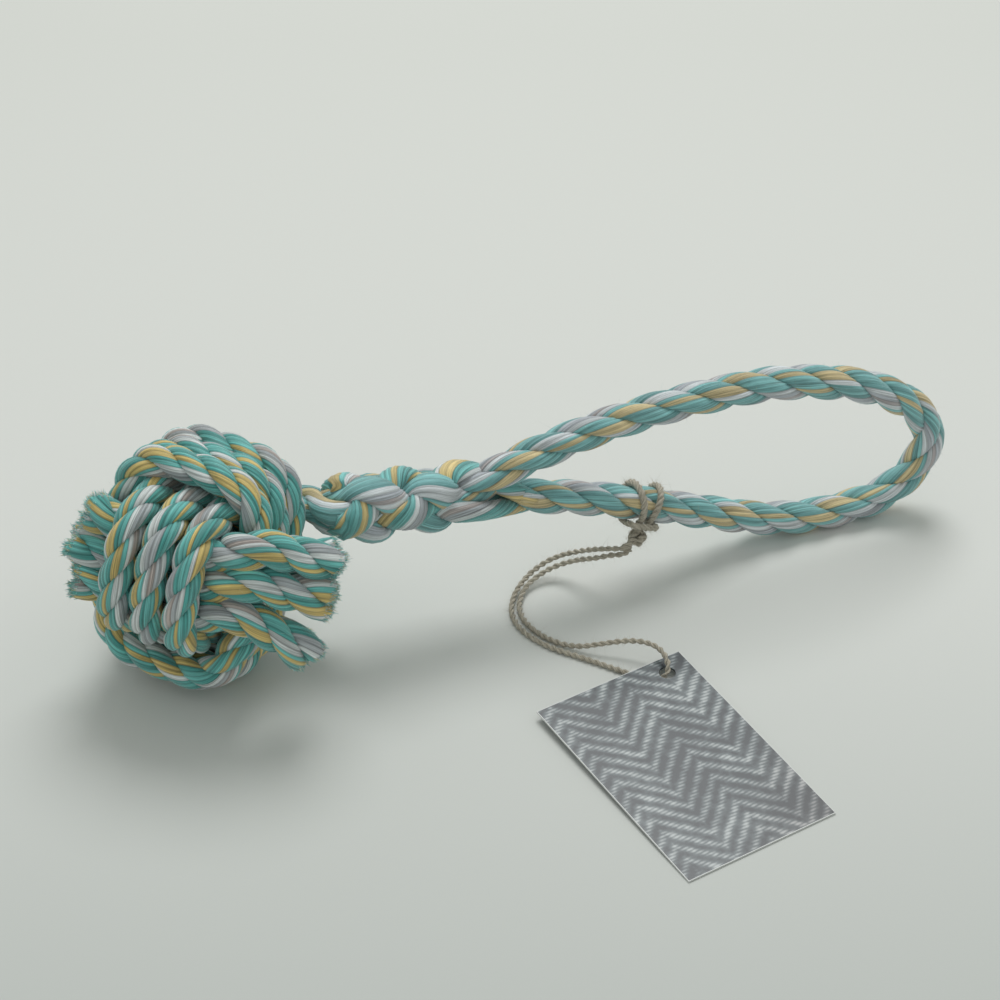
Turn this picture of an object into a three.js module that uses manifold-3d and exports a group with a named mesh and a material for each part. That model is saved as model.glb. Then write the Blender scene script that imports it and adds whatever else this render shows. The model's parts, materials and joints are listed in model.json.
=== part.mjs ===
// Rope dog toy: a monkey's-fist ball of three-strand rope with a spliced hand loop
// and a card tag on jute twine. Millimetres, +X along the handle, +Z up.
// The origin is on the floor, in the middle of the toy without its twine and tag.

import * as THREE from 'three';
import { mergeVertices } from 'three/addons/utils/BufferGeometryUtils.js';
import Module from 'manifold-3d';

// Driving dimensions of the rope
const ropeDiameter = 12;
const squeezedDiameter = 10.2;
const knotSpacing = 11.5;
const runningGap = 0.3;
const flatDepthShare = 0.1;

// Driving dimensions of the handle
const neckDistance = 43;
const neckOffset = -2.5;
const handleReach = 216;
const handleRise = 71;
const spliceSetOff = 6;
const spliceLength = 52;
const spliceRopeDiameter = 10.2;
const spliceStrandWidth = 8.4;
const spliceStrandThickness = 4.8;
const spliceTurnLength = 42;
const swingLimit = 30;

// Driving dimensions of the core
const coreDiameter = 30;
const cornerDiameter = 6.4;

// Driving dimensions of the twine and the tag
const twineDiameter = 1.9;
const hitchDiameter = 2.3;
const twineKnotDiameter = 6.4;
const tagWidth = 55;
const tagHeight = 85;
const tagThickness = 0.6;
const tagHoleDiameter = 5.5;
const tagHoleInset = 6.6;
const tagHoleFromSide = 9;
const tagHoleHeight = 2.6;
const tagHoleReach = 95.6;
const tagHoleAside = 59.7;
const tagTurn = 13;
const tagTilt = 1.6;

// How the ball lies: its top winding leans towards the handle
const ballYaw = -131.5;
const ballPitch = -19.5;
const ballRoll = -5;
const ballOffset = 2.5;

// Finishes
const ropeTeal = new THREE.MeshStandardMaterial({ color: 0x6fb3a5, roughness: 0.55, metalness: 0 });
const ropeDark = new THREE.MeshStandardMaterial({ color: 0x3f8f86, roughness: 0.6, metalness: 0 });
const ropePale = new THREE.MeshStandardMaterial({ color: 0xc9cfca, roughness: 0.55, metalness: 0 });
const ropeYellow = new THREE.MeshStandardMaterial({ color: 0xd0b765, roughness: 0.55, metalness: 0 });
const jute = new THREE.MeshStandardMaterial({ color: 0x8f8472, roughness: 0.9, metalness: 0 });
const card = new THREE.MeshStandardMaterial({ color: 0x7f9296, roughness: 0.7, metalness: 0 });

const radians = (degrees) => THREE.MathUtils.degToRad(degrees);
const wasm = await Module();
wasm.setup();

// A closed mesh whose corners are shared
function welded(geometry) {
  const bare = geometry.clone();
  bare.deleteAttribute('normal');
  bare.deleteAttribute('uv');
  return mergeVertices(bare);
}

function toSolid(geometry) {
  const shared = welded(geometry);
  return new wasm.Manifold(new wasm.Mesh({
    numProp: 3,
    vertProperties: new Float32Array(shared.attributes.position.array),
    triVerts: new Uint32Array(shared.index.array),
  }));
}

function toGeometry(solid) {
  const mesh = solid.getMesh();
  const geometry = new THREE.BufferGeometry();
  geometry.setAttribute('position', new THREE.BufferAttribute(new Float32Array(mesh.vertProperties), 3));
  geometry.setIndex(new THREE.BufferAttribute(new Uint32Array(mesh.triVerts), 1));
  geometry.computeVertexNormals();
  return geometry;
}

const cut = (body, tool) => toGeometry(toSolid(body).subtract(toSolid(tool)));
const join = (body, other) => toGeometry(toSolid(body).add(toSolid(other)));

// Unit tangents along a list of points
function tangentsOf(points) {
  const last = points.length - 1;
  return points.map((point, i) => new THREE.Vector3()
    .subVectors(points[Math.min(i + 1, last)], points[Math.max(i - 1, 0)]).normalize());
}

// A closed tube along a list of points. radii gives each ring's two half-widths, and
// sideways, where it is given, the direction of the first one.
function tube(points, radii, sides, sideways = null) {
  const tangents = tangentsOf(points);
  const positions = [];
  const indices = [];
  const across = new THREE.Vector3(0, 0, 1);
  if (Math.abs(tangents[0].z) > Math.SQRT1_2) across.set(1, 0, 0);
  const ringStart = (i) => i * sides;
  points.forEach((point, i) => {
    const tangent = tangents[i];
    if (sideways) across.copy(sideways[i]);
    across.addScaledVector(tangent, -across.dot(tangent)).normalize();
    const other = new THREE.Vector3().crossVectors(tangent, across);
    for (let k = 0; k < sides; k += 1) {
      const angle = (2 * Math.PI * k) / sides;
      const corner = point.clone()
        .addScaledVector(across, radii[i][0] * Math.cos(angle))
        .addScaledVector(other, radii[i][1] * Math.sin(angle));
      positions.push(corner.x, corner.y, corner.z);
    }
  });
  for (let i = 0; i + 1 < points.length; i += 1) {
    for (let k = 0; k < sides; k += 1) {
      const next = (k + 1) % sides;
      const a = ringStart(i) + k;
      const b = ringStart(i) + next;
      const c = ringStart(i + 1) + k;
      const e = ringStart(i + 1) + next;
      indices.push(a, b, e, a, e, c);
    }
  }
  const lastRing = ringStart(points.length - 1);
  for (let k = 1; k + 1 < sides; k += 1) {
    indices.push(0, k + 1, k);
    indices.push(lastRing, lastRing + k, lastRing + k + 1);
  }
  const geometry = new THREE.BufferGeometry();
  geometry.setAttribute('position', new THREE.Float32BufferAttribute(positions, 3));
  geometry.setIndex(indices);
  geometry.computeVertexNormals();
  return geometry;
}

const evenRadii = (points, radius) => points.map(() => [radius, radius]);
const roundTube = (points, diameter, sides) => tube(points, evenRadii(points, diameter / 2), sides);

// A smooth curve through chosen points, as evenly spaced points
function smoothRun(chosen, steps) {
  return new THREE.CatmullRomCurve3(chosen, false, 'centripetal').getSpacedPoints(steps);
}

// Least distance between two lists of points, leaving out near neighbours of one tube
function leastDistance(points, others, skip = 0) {
  let least = Infinity;
  points.forEach((point, i) => others.forEach((other, j) => {
    if (points !== others || Math.abs(i - j) > skip) least = Math.min(least, point.distanceTo(other));
  }));
  return least;
}

function printGap(name, points, diameter, skip) {
  const gap = leastDistance(points, points, skip) - diameter;
  console.log(`${name}: least gap to itself ${gap.toFixed(2)} mm`);
}

// The ball's own frame: x to the front face, y to the right face, z to the top face.
// A winding is a rounded oblong turn, repeated side by side. It lies over the other
// ropes on its outer faces and under them on its inner faces, and steps aside by one
// pitch between turns. The rises lift its turns off the ball's middle, the outer-rise
// more at the first and last turn.
const turns = 3;
const windingSteps = 32;
const windingSides = 8;
const frontShares = {
  outerShare: 2.86, innerShare: 1.92, outerCrownShare: 0.02, roundness: 5,
  outerRiseShare: 0, innerRiseShare: 0.17, startAngle: -90, hiddenEndShare: 0.09,
};
const topShares = {
  outerShare: 3.08, innerShare: 2.08, outerCrownShare: 0.06, roundness: 4.8,
  outerRiseShare: 0.12, innerRiseShare: 0.03, startAngle: 100, hiddenEndShare: 0.09,
};
const stepAsideShare = 0.13;
const middleShare = 0.5;

function windingPoint(winding, turn) {
  let place = -(turns + 1) / 2;
  for (let k = 0; k <= turns; k += 1) {
    place += THREE.MathUtils.smoothstep(turn, k - stepAsideShare, k + stepAsideShare);
  }
  place = THREE.MathUtils.clamp(place, -(turns - 1) / 2, (turns - 1) / 2);
  const angle = radians(winding.startAngle) - 2 * Math.PI * turn;
  const outer = winding.outerShare - winding.outerCrownShare * place * place;
  const power = winding.roundness;
  const reach = (Math.abs(Math.cos(angle)) / outer) ** power
    + (Math.abs(Math.sin(angle)) / winding.innerShare) ** power;
  const distance = 1 / reach ** (1 / power);
  return {
    outer: knotSpacing * (distance * Math.cos(angle) + winding.outerRiseShare * (place * place - middleShare)),
    inner: knotSpacing * (distance * Math.sin(angle) + winding.innerRiseShare),
    aside: knotSpacing * place,
  };
}

function windingRun(winding, place) {
  const steps = turns * windingSteps;
  const from = winding.hiddenEndShare;
  const span = turns - 2 * from;
  return Array.from({ length: steps + 1 }, (_, i) => place(windingPoint(winding, from + (span * i) / steps)));
}

const frontRun = windingRun(frontShares, (at) => new THREE.Vector3(at.outer, at.aside, at.inner));
const topRun = windingRun(topShares, (at) => new THREE.Vector3(at.aside, at.inner, at.outer));
printGap('front winding', frontRun, squeezedDiameter, windingSteps / 2);
printGap('top winding', topRun, squeezedDiameter, windingSteps / 2);

// Short ropes that pass under the front winding and show both cut ends, as chosen
// points in shares of the knot's pitch: front, right, top
const crossShares = {
  front_cross_rope_upper: [
    [2.05, -2.4, 1.09], [1.9, -1.2, 1.09], [1.9, 0, 1.09], [1.9, 1.2, 1.09], [2.1, 2.1, 1.4], [1.8, 2.76, 1.68],
    [1.3, 3.32, 1.63], [0.8, 3.81, 1.61], [0.4, 4.17, 1.61],
  ],
  front_cross_rope_middle: [
    [2.05, -3, 0.17], [1.9, -1.2, 0.17], [1.9, 0, 0.17], [1.9, 1.2, 0.17], [2.1, 2.1, 0.4], [1.8, 2.81, 0.56],
    [1.4, 3.42, 0.49], [0.9, 3.95, 0.45], [0.6, 4.29, 0.47],
  ],
  front_cross_rope_lower: [
    [2.05, -2.5, -0.75], [1.9, -1.2, -0.75], [1.9, 0, -0.75], [1.9, 1.2, -0.75], [2.1, 2.1, -0.6],
    [1.8, 2.94, -0.73], [1.4, 3.56, -0.98], [1, 3.87, -1.19], [0.7, 4.04, -1.36],
  ],
  back_cross_rope_upper: [[-1.92, 0.9, 1.09], [-1.92, 0, 1.09], [-1.92, -1.2, 1.09], [-2.05, -2.5, 1.09]],
  back_cross_rope_middle: [[-2.05, 3.1, 0.17], [-1.92, 1.2, 0.17], [-1.92, -1.2, 0.17], [-2.05, -2.9, 0.17]],
  back_cross_rope_lower: [[-2.05, 3.3, -0.75], [-1.92, 1.2, -0.75], [-1.92, -1.2, -0.75], [-2.05, -2.7, -0.75]],
};
const crossSteps = 16;
const crossSides = 8;

const crossRuns = Object.entries(crossShares).map(([name, shares]) => {
  const chosen = shares.map((share) => new THREE.Vector3(...share).multiplyScalar(knotSpacing));
  return { name, points: smoothRun(chosen, crossSteps) };
});

// The ball stands on the lowest stretch of its top winding, pressed flat there
const ballTurn = new THREE.Euler(radians(ballRoll), radians(ballPitch), radians(ballYaw), 'ZYX');
const flatDepth = ropeDiameter * flatDepthShare;
const lowest = Math.min(...topRun.map((point) => point.clone().applyEuler(ballTurn).z));
const ballHeight = squeezedDiameter / 2 - flatDepth - lowest;

const ball = new THREE.Group();
ball.name = 'ball';
ball.rotation.copy(ballTurn);
ball.position.set(0, ballOffset, ballHeight);
ball.updateMatrix();
const intoBall = ball.matrix.clone().invert();

// A slab below the floor, as big as the toy, that presses the resting stretches flat
const slabWidth = 2 * (handleReach + neckDistance);
function floorSlab() {
  const slab = new THREE.BoxGeometry(slabWidth, slabWidth, handleRise);
  slab.translate(0, 0, -handleRise / 2);
  return slab;
}

function piece(parent, name, geometry, material) {
  const mesh = new THREE.Mesh(geometry, material);
  mesh.name = name;
  parent.add(mesh);
  return mesh;
}

piece(ball, 'front_winding', roundTube(frontRun, squeezedDiameter, windingSides), ropeTeal);
const topTube = roundTube(topRun, squeezedDiameter, windingSides);
piece(ball, 'top_winding', cut(topTube, floorSlab().applyMatrix4(intoBall)), ropeTeal);
crossRuns.forEach(({ name, points }) => {
  piece(ball, name, roundTube(points, squeezedDiameter, crossSides), ropeTeal);
});

// The handle swings about an upright line through the neck, just outside the ball
const handle = new THREE.Group();
handle.name = 'handle';
const pivotShare = 0.746;
const pivot = new THREE.Vector3(neckDistance, neckOffset, handleRise * pivotShare);

// The core is the stopper knot, and its rope leaves through the corner hole between
// the top, the right side and the back, thinned where the turns squeeze it
const coreSegments = 20;
const coreRings = 12;
const neckSides = 12;
const neckRadius = ropeDiameter / 2;
const pivotInBall = pivot.clone().applyMatrix4(intoBall);
const throughHoleShares = [
  [-0.3, 0.3, 0.3], [-0.92, 0.92, 0.92], [-1.45, 1.42, 1.45], [-1.8, 1.9, 1.8], [-1.9, 2.35, 1.9],
];
const stubRun = smoothRun([
  ...throughHoleShares.map((share) => new THREE.Vector3(...share).multiplyScalar(knotSpacing)),
  pivotInBall,
], crossSteps);
const stubRadii = evenRadii(stubRun, cornerDiameter / 2);
const stub = tube(stubRun, stubRadii, neckSides);
const coreBall = new THREE.SphereGeometry(coreDiameter / 2, coreSegments, coreRings);
const socket = new THREE.SphereGeometry(neckRadius + runningGap, coreSegments, coreRings);
socket.translate(pivotInBall.x, pivotInBall.y, pivotInBall.z);
piece(ball, 'core_knot', cut(join(coreBall, stub), socket), ropeDark);

// The handle's rope in its upright plane: shares of its reach past the pivot and of
// its rise, from the neck through the splice, up and round the loop, and back along
// the floor to the throat
const lowerLegShares = [[0.6, 0.25], [0.5, 0.375], [0.4, 0.49]];
const handleShares = [
  [0, pivotShare], [0.03, 0.752], [0.11, 0.744], [0.19, 0.732], [0.25, 0.738], [0.31, 0.79], [0.41, 0.87], [0.5, 0.91],
  [0.6, 0.933], [0.7, 0.925], [0.79, 0.877], [0.87, 0.79], [0.94, 0.655], [0.985, 0.46], [0.975, 0.26],
  [0.92, 0.115], [0.86, 0.0755], [0.79, 0.0755], [0.71, 0.12], ...lowerLegShares, [0.295, 0.58],
];
const restHeight = ropeDiameter / 2 - flatDepth;
const handleSteps = 72;
const handleSides = 8;

function handlePoint([alongShare, riseShare]) {
  return new THREE.Vector3(neckDistance + alongShare * handleReach, neckOffset, riseShare * handleRise);
}

const handleRun = smoothRun(handleShares.map(handlePoint), handleSteps);
handleRun.forEach((point) => { point.z = Math.max(point.z, restHeight); });

// The rope is squeezed inside the splice, and rounded at the pivot end
const spliceStart = neckDistance + spliceSetOff;
const spliceEnd = spliceStart + spliceLength;
const squeezeLength = 8;
function handleRadius(point, i) {
  const onLowerLeg = i > handleSteps / 2;
  if (onLowerLeg) return neckRadius;
  const squeezedFrom = spliceStart - spliceStrandWidth / 2;
  const squeezedTo = spliceEnd + spliceStrandWidth / 2;
  const into = THREE.MathUtils.smoothstep(point.x, squeezedFrom - squeezeLength, squeezedFrom);
  const out = THREE.MathUtils.smoothstep(point.x, squeezedTo, squeezedTo + squeezeLength);
  return THREE.MathUtils.lerp(neckRadius, spliceRopeDiameter / 2, into - out);
}
const domeAngles = [12, 30, 50, 70];
const domePoints = domeAngles.map((angle) => pivot.clone()
  .add(new THREE.Vector3(-neckRadius * Math.cos(radians(angle)), 0, 0)));
const domeRadii = domeAngles.map((angle) => neckRadius * Math.sin(radians(angle)));
const ropeRun = [...domePoints, ...handleRun];
const ropeRadii = [...domeRadii, ...handleRun.map(handleRadius)].map((radius) => [radius, radius]);
const handleRope = tube(ropeRun, ropeRadii, handleSides, ropeRun.map(() => new THREE.Vector3(0, 1, 0)));
piece(handle, 'handle_rope', cut(handleRope, floorSlab()), ropeTeal);
printGap('handle rope', handleRun, ropeDiameter, handleSteps / 4);

// Three flat strands tucked round the standing rope, against its lay
const strandFinishes = [ropeTeal, ropeYellow, ropePale];
const strandCount = strandFinishes.length;
const strandSteps = 40;
const strandSides = 8;
const strandTurn = spliceLength / spliceTurnLength;
const strandEndShare = 0.55;
const strandTaperShare = 0.2;

function spliceAxis(x) {
  const after = handleRun.findIndex((point) => point.x >= x);
  const before = handleRun[after - 1];
  const share = (x - before.x) / (handleRun[after].x - before.x);
  return before.clone().lerp(handleRun[after], share);
}

const strandDistance = spliceRopeDiameter / 2 + runningGap + spliceStrandThickness / 2;
for (let strand = 0; strand < strandCount; strand += 1) {
  const run = [];
  const outward = [];
  const radii = [];
  for (let i = 0; i <= strandSteps; i += 1) {
    const share = i / strandSteps;
    const angle = 2 * Math.PI * (strand / strandCount - strandTurn * share);
    const out = new THREE.Vector3(0, Math.cos(angle), Math.sin(angle));
    run.push(spliceAxis(spliceStart + spliceLength * share).addScaledVector(out, strandDistance));
    outward.push(out);
    const taper = THREE.MathUtils.lerp(strandEndShare, 1, THREE.MathUtils.smoothstep(share, 0, strandTaperShare));
    radii.push([taper * spliceStrandThickness / 2, taper * spliceStrandWidth / 2]);
  }
  const name = `splice_strand_${strand + 1}`;
  piece(handle, name, tube(run, radii, strandSides, outward), strandFinishes[strand]);
}

// A lark's head of doubled twine round the loop's lower leg: angles down from the
// front, distances from the leg's middle as shares of the turn's radius, and places
// along the leg as shares of the twine, mirrored for the second turn. A bar of twine
// crosses over both turns.
const hitchSteps = 64;
const hitchSides = 6;
const hitchRadius = neckRadius + runningGap + hitchDiameter / 2;
const barShare = 1.3;
const barAngle = -334;
const hitchShares = [
  [52, 1.25, 0.75], [34, 1.04, 0.75], [15, 1, 0.78], [-20, 1, 1.1], [-60, 1, 1.6], [-100, 1, 1.95], [-140, 1, 2],
  [-180, 1, 2.02], [-220, 1, 2.05], [-260, 1, 2.08], [-295, 1, 2.12], [-318, 1.1, 2.12], [-332, 1.3, 1.7],
];
const [legTop, hitchCentre, legBottom] = lowerLegShares.map(handlePoint);
const legAlong = new THREE.Vector3().subVectors(legTop, legBottom).normalize();
const legFront = new THREE.Vector3(0, -1, 0);
const legDown = new THREE.Vector3().crossVectors(legFront, legAlong).normalize();
if (legDown.z > 0) legDown.negate();

function roundLeg(angle, distance, along) {
  return hitchCentre.clone()
    .addScaledVector(legFront, distance * Math.cos(radians(angle)))
    .addScaledVector(legDown, distance * Math.sin(radians(angle)))
    .addScaledVector(legAlong, along);
}

const halfHitch = (side) => hitchShares
  .map(([angle, reach, along]) => roundLeg(angle, reach * hitchRadius, side * along * hitchDiameter));
const bar = roundLeg(barAngle, hitchRadius + barShare * hitchDiameter, 0);
const hitchRun = smoothRun([...halfHitch(-1), bar, ...halfHitch(1).reverse()], hitchSteps);
piece(handle, 'twine_hitch', roundTube(hitchRun, hitchDiameter, hitchSides), jute);
printGap('twine hitch', hitchRun, hitchDiameter, hitchSteps / 10);

// The knot under the hitch
const knotAngle = 58;
const knotFaces = 2;
const knotDistance = hitchShares[0][1] * hitchRadius + runningGap + twineKnotDiameter / 2;
const knotCentre = roundLeg(knotAngle, knotDistance, 0);
const twineKnot = new THREE.IcosahedronGeometry(twineKnotDiameter / 2, knotFaces);
twineKnot.translate(knotCentre.x, knotCentre.y, knotCentre.z);
piece(handle, 'twine_knot', welded(twineKnot), jute);

// The card tag lies on the floor past the twine under it, so its holed end is raised.
// It turns about its hole.
const holeCentre = new THREE.Vector3(neckDistance + tagHoleReach, -tagHoleAside, tagHoleHeight);
const tag = new THREE.Group();
tag.name = 'tag';
tag.rotation.set(radians(tagTilt), 0, radians(tagTurn), 'ZYX');
tag.position.copy(holeCentre);

const holeSegments = 24;
const outline = new THREE.Shape();
const tagRight = tagHoleFromSide;
const tagLeft = tagHoleFromSide - tagWidth;
const tagFar = tagHoleInset;
const tagNear = tagHoleInset - tagHeight;
outline.moveTo(tagLeft, tagNear);
outline.lineTo(tagRight, tagNear);
outline.lineTo(tagRight, tagFar);
outline.lineTo(tagLeft, tagFar);
outline.closePath();
const hole = new THREE.Path();
hole.absarc(0, 0, tagHoleDiameter / 2, 0, 2 * Math.PI, true);
outline.holes.push(hole);
const tagBody = new THREE.ExtrudeGeometry(outline, {
  depth: tagThickness, bevelEnabled: false, curveSegments: holeSegments,
});
tagBody.translate(0, 0, -tagThickness / 2);
piece(tag, 'swing_tag', tagBody, card);

// The twine's route as chosen points, from the knot along the floor, under the tag,
// up through its hole and back to the knot
const twineChoice = [
  [144.12, -11.46, 17.1], [141.4, -12.1, 17.3], [137.4, -9.6, 16.2], [133.4, -6.2, 14.4], [129.2, -2, 11.4],
  [124.6, 1.6, 8.2], [119.4, 2.9, 5.6], [113.6, 1.4, 3.7], [108.2, -2.2, 2.4], [104, -7, 1.5], [101.4, -13, 1.05],
  [101, -19, 1], [102.6, -25, 1], [105.4, -30.4, 1], [109, -35.2, 1], [113.4, -39.6, 1], [118.2, -44.4, 1],
  [123, -49.4, 1], [127.6, -54.2, 1], [131.6, -57.6, 1], [134.6, -59.2, 1.05], [136.9, -60, 1.5],
  [138.5, -59.7, 2.9], [139.3, -58.4, 4.6], [139.5, -55.6, 6.2], [138.4, -52, 7.1], [135.8, -48.6, 7.3],
  [132, -45.6, 6.8], [127.2, -43, 5.6], [122, -40.6, 4], [117, -38, 2.4], [112.4, -34.2, 1.3], [108.2, -29, 1],
  [105.4, -23.6, 1], [104, -18, 1.05], [104.4, -12.4, 1.1], [106.6, -7.4, 1.4], [110.2, -3.2, 2.2],
  [114.8, -0.8, 3.2], [119.4, 0, 4.6], [124, -1, 6.6], [128.6, -4, 9.4], [132.8, -7.8, 12], [137.4, -10.2, 13.8],
  [141.4, -11.6, 14.4], [144.15, -10.72, 14.76],
].map(([x, y, z]) => new THREE.Vector3(x, y, z));
const twineSteps = 78;
const twineSides = 8;
const twineRun = smoothRun(twineChoice, twineSteps);
piece(handle, 'tag_twine', roundTube(twineRun, twineDiameter, twineSides), jute);
printGap('tag twine', twineRun, twineDiameter, twineSteps / 16);

// The floor's middle under the ball and the handle is the origin
const toy = new THREE.Group();
toy.name = 'rope_toy';
toy.add(ball, handle, tag);
toy.updateMatrixWorld(true);
const rest = new THREE.Box3();
[ball, handle].forEach((group) => group.children
  .filter((mesh) => mesh.name !== 'tag_twine')
  .forEach((mesh) => rest.union(new THREE.Box3().setFromObject(mesh, true))));
const middle = rest.getCenter(new THREE.Vector3());
toy.position.set(-middle.x, -middle.y, 0);
export default toy;
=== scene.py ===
import itertools
import json
import bpy
import numpy as np
from mathutils import Matrix


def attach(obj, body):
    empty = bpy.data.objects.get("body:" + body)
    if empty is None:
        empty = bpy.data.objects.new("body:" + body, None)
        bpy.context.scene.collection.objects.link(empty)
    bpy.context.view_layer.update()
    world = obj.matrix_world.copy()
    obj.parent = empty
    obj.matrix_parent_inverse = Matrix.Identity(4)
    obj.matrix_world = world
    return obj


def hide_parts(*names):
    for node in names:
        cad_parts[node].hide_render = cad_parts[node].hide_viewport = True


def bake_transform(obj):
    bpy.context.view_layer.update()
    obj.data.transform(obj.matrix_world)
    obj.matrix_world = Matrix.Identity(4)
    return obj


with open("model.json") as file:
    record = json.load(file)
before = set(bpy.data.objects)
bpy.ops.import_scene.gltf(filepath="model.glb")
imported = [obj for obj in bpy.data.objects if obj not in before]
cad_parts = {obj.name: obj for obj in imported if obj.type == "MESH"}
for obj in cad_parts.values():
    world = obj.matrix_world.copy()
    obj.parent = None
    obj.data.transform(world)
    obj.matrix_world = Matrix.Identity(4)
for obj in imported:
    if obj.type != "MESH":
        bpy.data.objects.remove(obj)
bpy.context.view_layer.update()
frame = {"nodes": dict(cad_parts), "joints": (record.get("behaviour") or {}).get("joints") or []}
mm = 0.001
rng = np.random.default_rng(11)
joints = {joint["name"]: joint for joint in frame["joints"]}
print("frame loaded")


# A vector, or each row of an array, divided by its own length
def unit(v):
    return v / np.linalg.norm(v, axis=-1, keepdims=True)


# Smooth step: 0 before start, 1 after end, and t^2 (3 - 2t) between them
def eased(x, start, end):
    t = np.clip((x - start) / (end - start), 0, 1)
    return t * t * (3 - 2 * t)


def mixed(a, b, share):
    return a + (b - a) * share


# Cubic from a to b that leaves along m and arrives along n:
# (2t^3 - 3t^2 + 1) a + (t^3 - 2t^2 + t) m + (3t^2 - 2t^3) b + (t^3 - t^2) n
def cubic(t, a, m, b, n):
    return (2 * t**3 - 3 * t**2 + 1) * a + (t**3 - 2 * t**2 + t) * m + (3 * t**2 - 2 * t**3) * b + (t**3 - t**2) * n


# Centripetal Catmull-Rom curve: each span is the cubic whose end slopes come from the
# neighbouring chords, weighted by the square roots of the chords' lengths
def splineThrough(chosen, perSpan=24):
    p = np.asarray(chosen, float)
    p = np.vstack([2 * p[0] - p[1], p, 2 * p[-1] - p[-2]])
    chord = np.diff(p, axis=0)
    root = np.sqrt(np.linalg.norm(chord, axis=1))[:, None]
    across = (p[2:] - p[:-2]) / (root[1:] + root[:-1])
    slope = chord[:-1] / root[:-1] - across + chord[1:] / root[1:]
    m = (slope[:-1] * root[1:-1])[:, None]
    n = (slope[1:] * root[1:-1])[:, None]
    a, b = p[1:-2][:, None], p[2:-1][:, None]
    t = np.linspace(0, 1, perSpan, endpoint=False)[None, :, None]
    return np.vstack([cubic(t, a, m, b, n).reshape(-1, 3), p[-2]])


# Distance travelled along a list of points
def travelled(path):
    return np.concatenate([[0], np.cumsum(np.linalg.norm(np.diff(path, axis=0), axis=1))])


# The same line, with a point at every given distance along it
def atDistances(path, distances):
    s = travelled(path)
    return np.stack([np.interp(distances, s, path[:, k]) for k in range(3)], axis=1)


# A rounded end: its first ring's angle, its rings, and the farthest out that one may be
roundedEnd = dict(first=0.08, rings=7, farthest=0.995)


# Distances along a line: even steps, drawn together towards a rounded end as one less
# the cosine of an even angle
def ringDistances(length, step, startCap=0.0, endCap=0.0):
    quarter = np.linspace(roundedEnd["first"], np.pi / 2, roundedEnd["rings"])
    inner = np.linspace(startCap, length - endCap, int((length - startCap - endCap) / step) + 2)
    first = startCap * (1 - np.cos(quarter[:-1])) if startCap else np.empty(0)
    last = length - endCap * (1 - np.cos(quarter[:-1][::-1])) if endCap else np.empty(0)
    return np.concatenate([first, inner, last])


# How full a ring is near a rounded end: the height of a quarter circle
def capShare(distances, length, startCap=0.0, endCap=0.0):
    share = np.ones_like(distances)
    for gone, cap in ((distances, startCap), (length - distances, endCap)):
        if cap:
            share = share * np.sqrt(1 - np.clip(1 - gone / cap, 0, roundedEnd["farthest"]) ** 2)
    return share


# A ring's side direction is the last ring's, less the part along the new direction
def carriedSides(path, start):
    tangents = unit(np.gradient(path, axis=0))
    sides = np.empty_like(path)
    last = np.asarray(start, float)
    for i, tangent in enumerate(tangents):
        last = unit(last - tangent * (last @ tangent))
        sides[i] = last
    return tangents, sides, np.cross(tangents, sides)


# A new object from arrays: corners, faces of four and of three, and for each face
# corner one UV and one colour
def meshFrom(name, points, quads, triangles=None, uv=None, colour=None):
    mesh = bpy.data.meshes.new(name)
    triangles = np.empty((0, 3), int) if triangles is None else triangles
    loops = np.concatenate([quads.reshape(-1), triangles.reshape(-1)])
    sizes = np.concatenate([np.full(len(quads), 4), np.full(len(triangles), 3)])
    mesh.vertices.add(len(points))
    mesh.loops.add(len(loops))
    mesh.polygons.add(len(sizes))
    mesh.vertices.foreach_set("co", np.asarray(points, np.float32).reshape(-1))
    mesh.loops.foreach_set("vertex_index", loops.astype(np.int32))
    mesh.polygons.foreach_set("loop_start", (np.cumsum(sizes) - sizes).astype(np.int32))
    mesh.update(calc_edges=True)
    mesh.polygons.foreach_set("use_smooth", np.ones(len(sizes), bool))
    if uv is not None:
        layer = mesh.uv_layers.new(name="fibre")
        layer.data.foreach_set("uv", np.asarray(uv, np.float32).reshape(-1))
    if colour is not None:
        attribute = mesh.color_attributes.new("yarn", "FLOAT_COLOR", "CORNER")
        attribute.data.foreach_set("color", np.asarray(colour, np.float32).reshape(-1))
    mesh.validate()
    obj = bpy.data.objects.new(name, mesh)
    bpy.context.scene.collection.objects.link(obj)
    return obj


# A colour written as on a screen, as the linear one that a shader takes: by the sRGB
# curve, a straight part and then ((c + 0.055) / 1.055)^2.4
def linear(colour):
    c = np.asarray(colour, float) / 255
    return np.where(c <= 0.04045, c / 12.92, ((c + 0.055) / 1.055) ** 2.4)


# A camera or a lamp, linked and turned so that its three axes are the given ones
def aimed(name, data, right, up, back, at):
    obj = bpy.data.objects.new(name, data)
    bpy.context.scene.collection.objects.link(obj)
    turn = np.eye(4)
    turn[:3, :] = np.stack([right, up, back, at], axis=1)
    obj.matrix_world = Matrix(turn.tolist())
    return obj


# A picture of 1000 x 1000 with no shift: the lens follows from the focal length in
# pixels. The camera's place is given from the handle's joint.
camera = dict(
    fromJoint=(-0.1789, -0.6908, 0.5705), forward=(0.2535, 0.7396, -0.6235),
    focalPixels=2853, width=1000, sensor=36, nearest=0.01,
)
neckJoint = np.array(joints["handle_swing"]["pos_m"])
cameraData = bpy.data.cameras.new("camera")
cameraData.sensor_width = camera["sensor"]
cameraData.lens = camera["focalPixels"] / camera["width"] * camera["sensor"]
cameraData.clip_start = camera["nearest"]
towards = unit(np.array(camera["forward"]))
rightward = unit(np.cross(towards, (0, 0, 1)))
bpy.context.scene.camera = aimed(
    "camera", cameraData, rightward, np.cross(rightward, towards), -towards, neckJoint + camera["fromJoint"])


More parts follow.
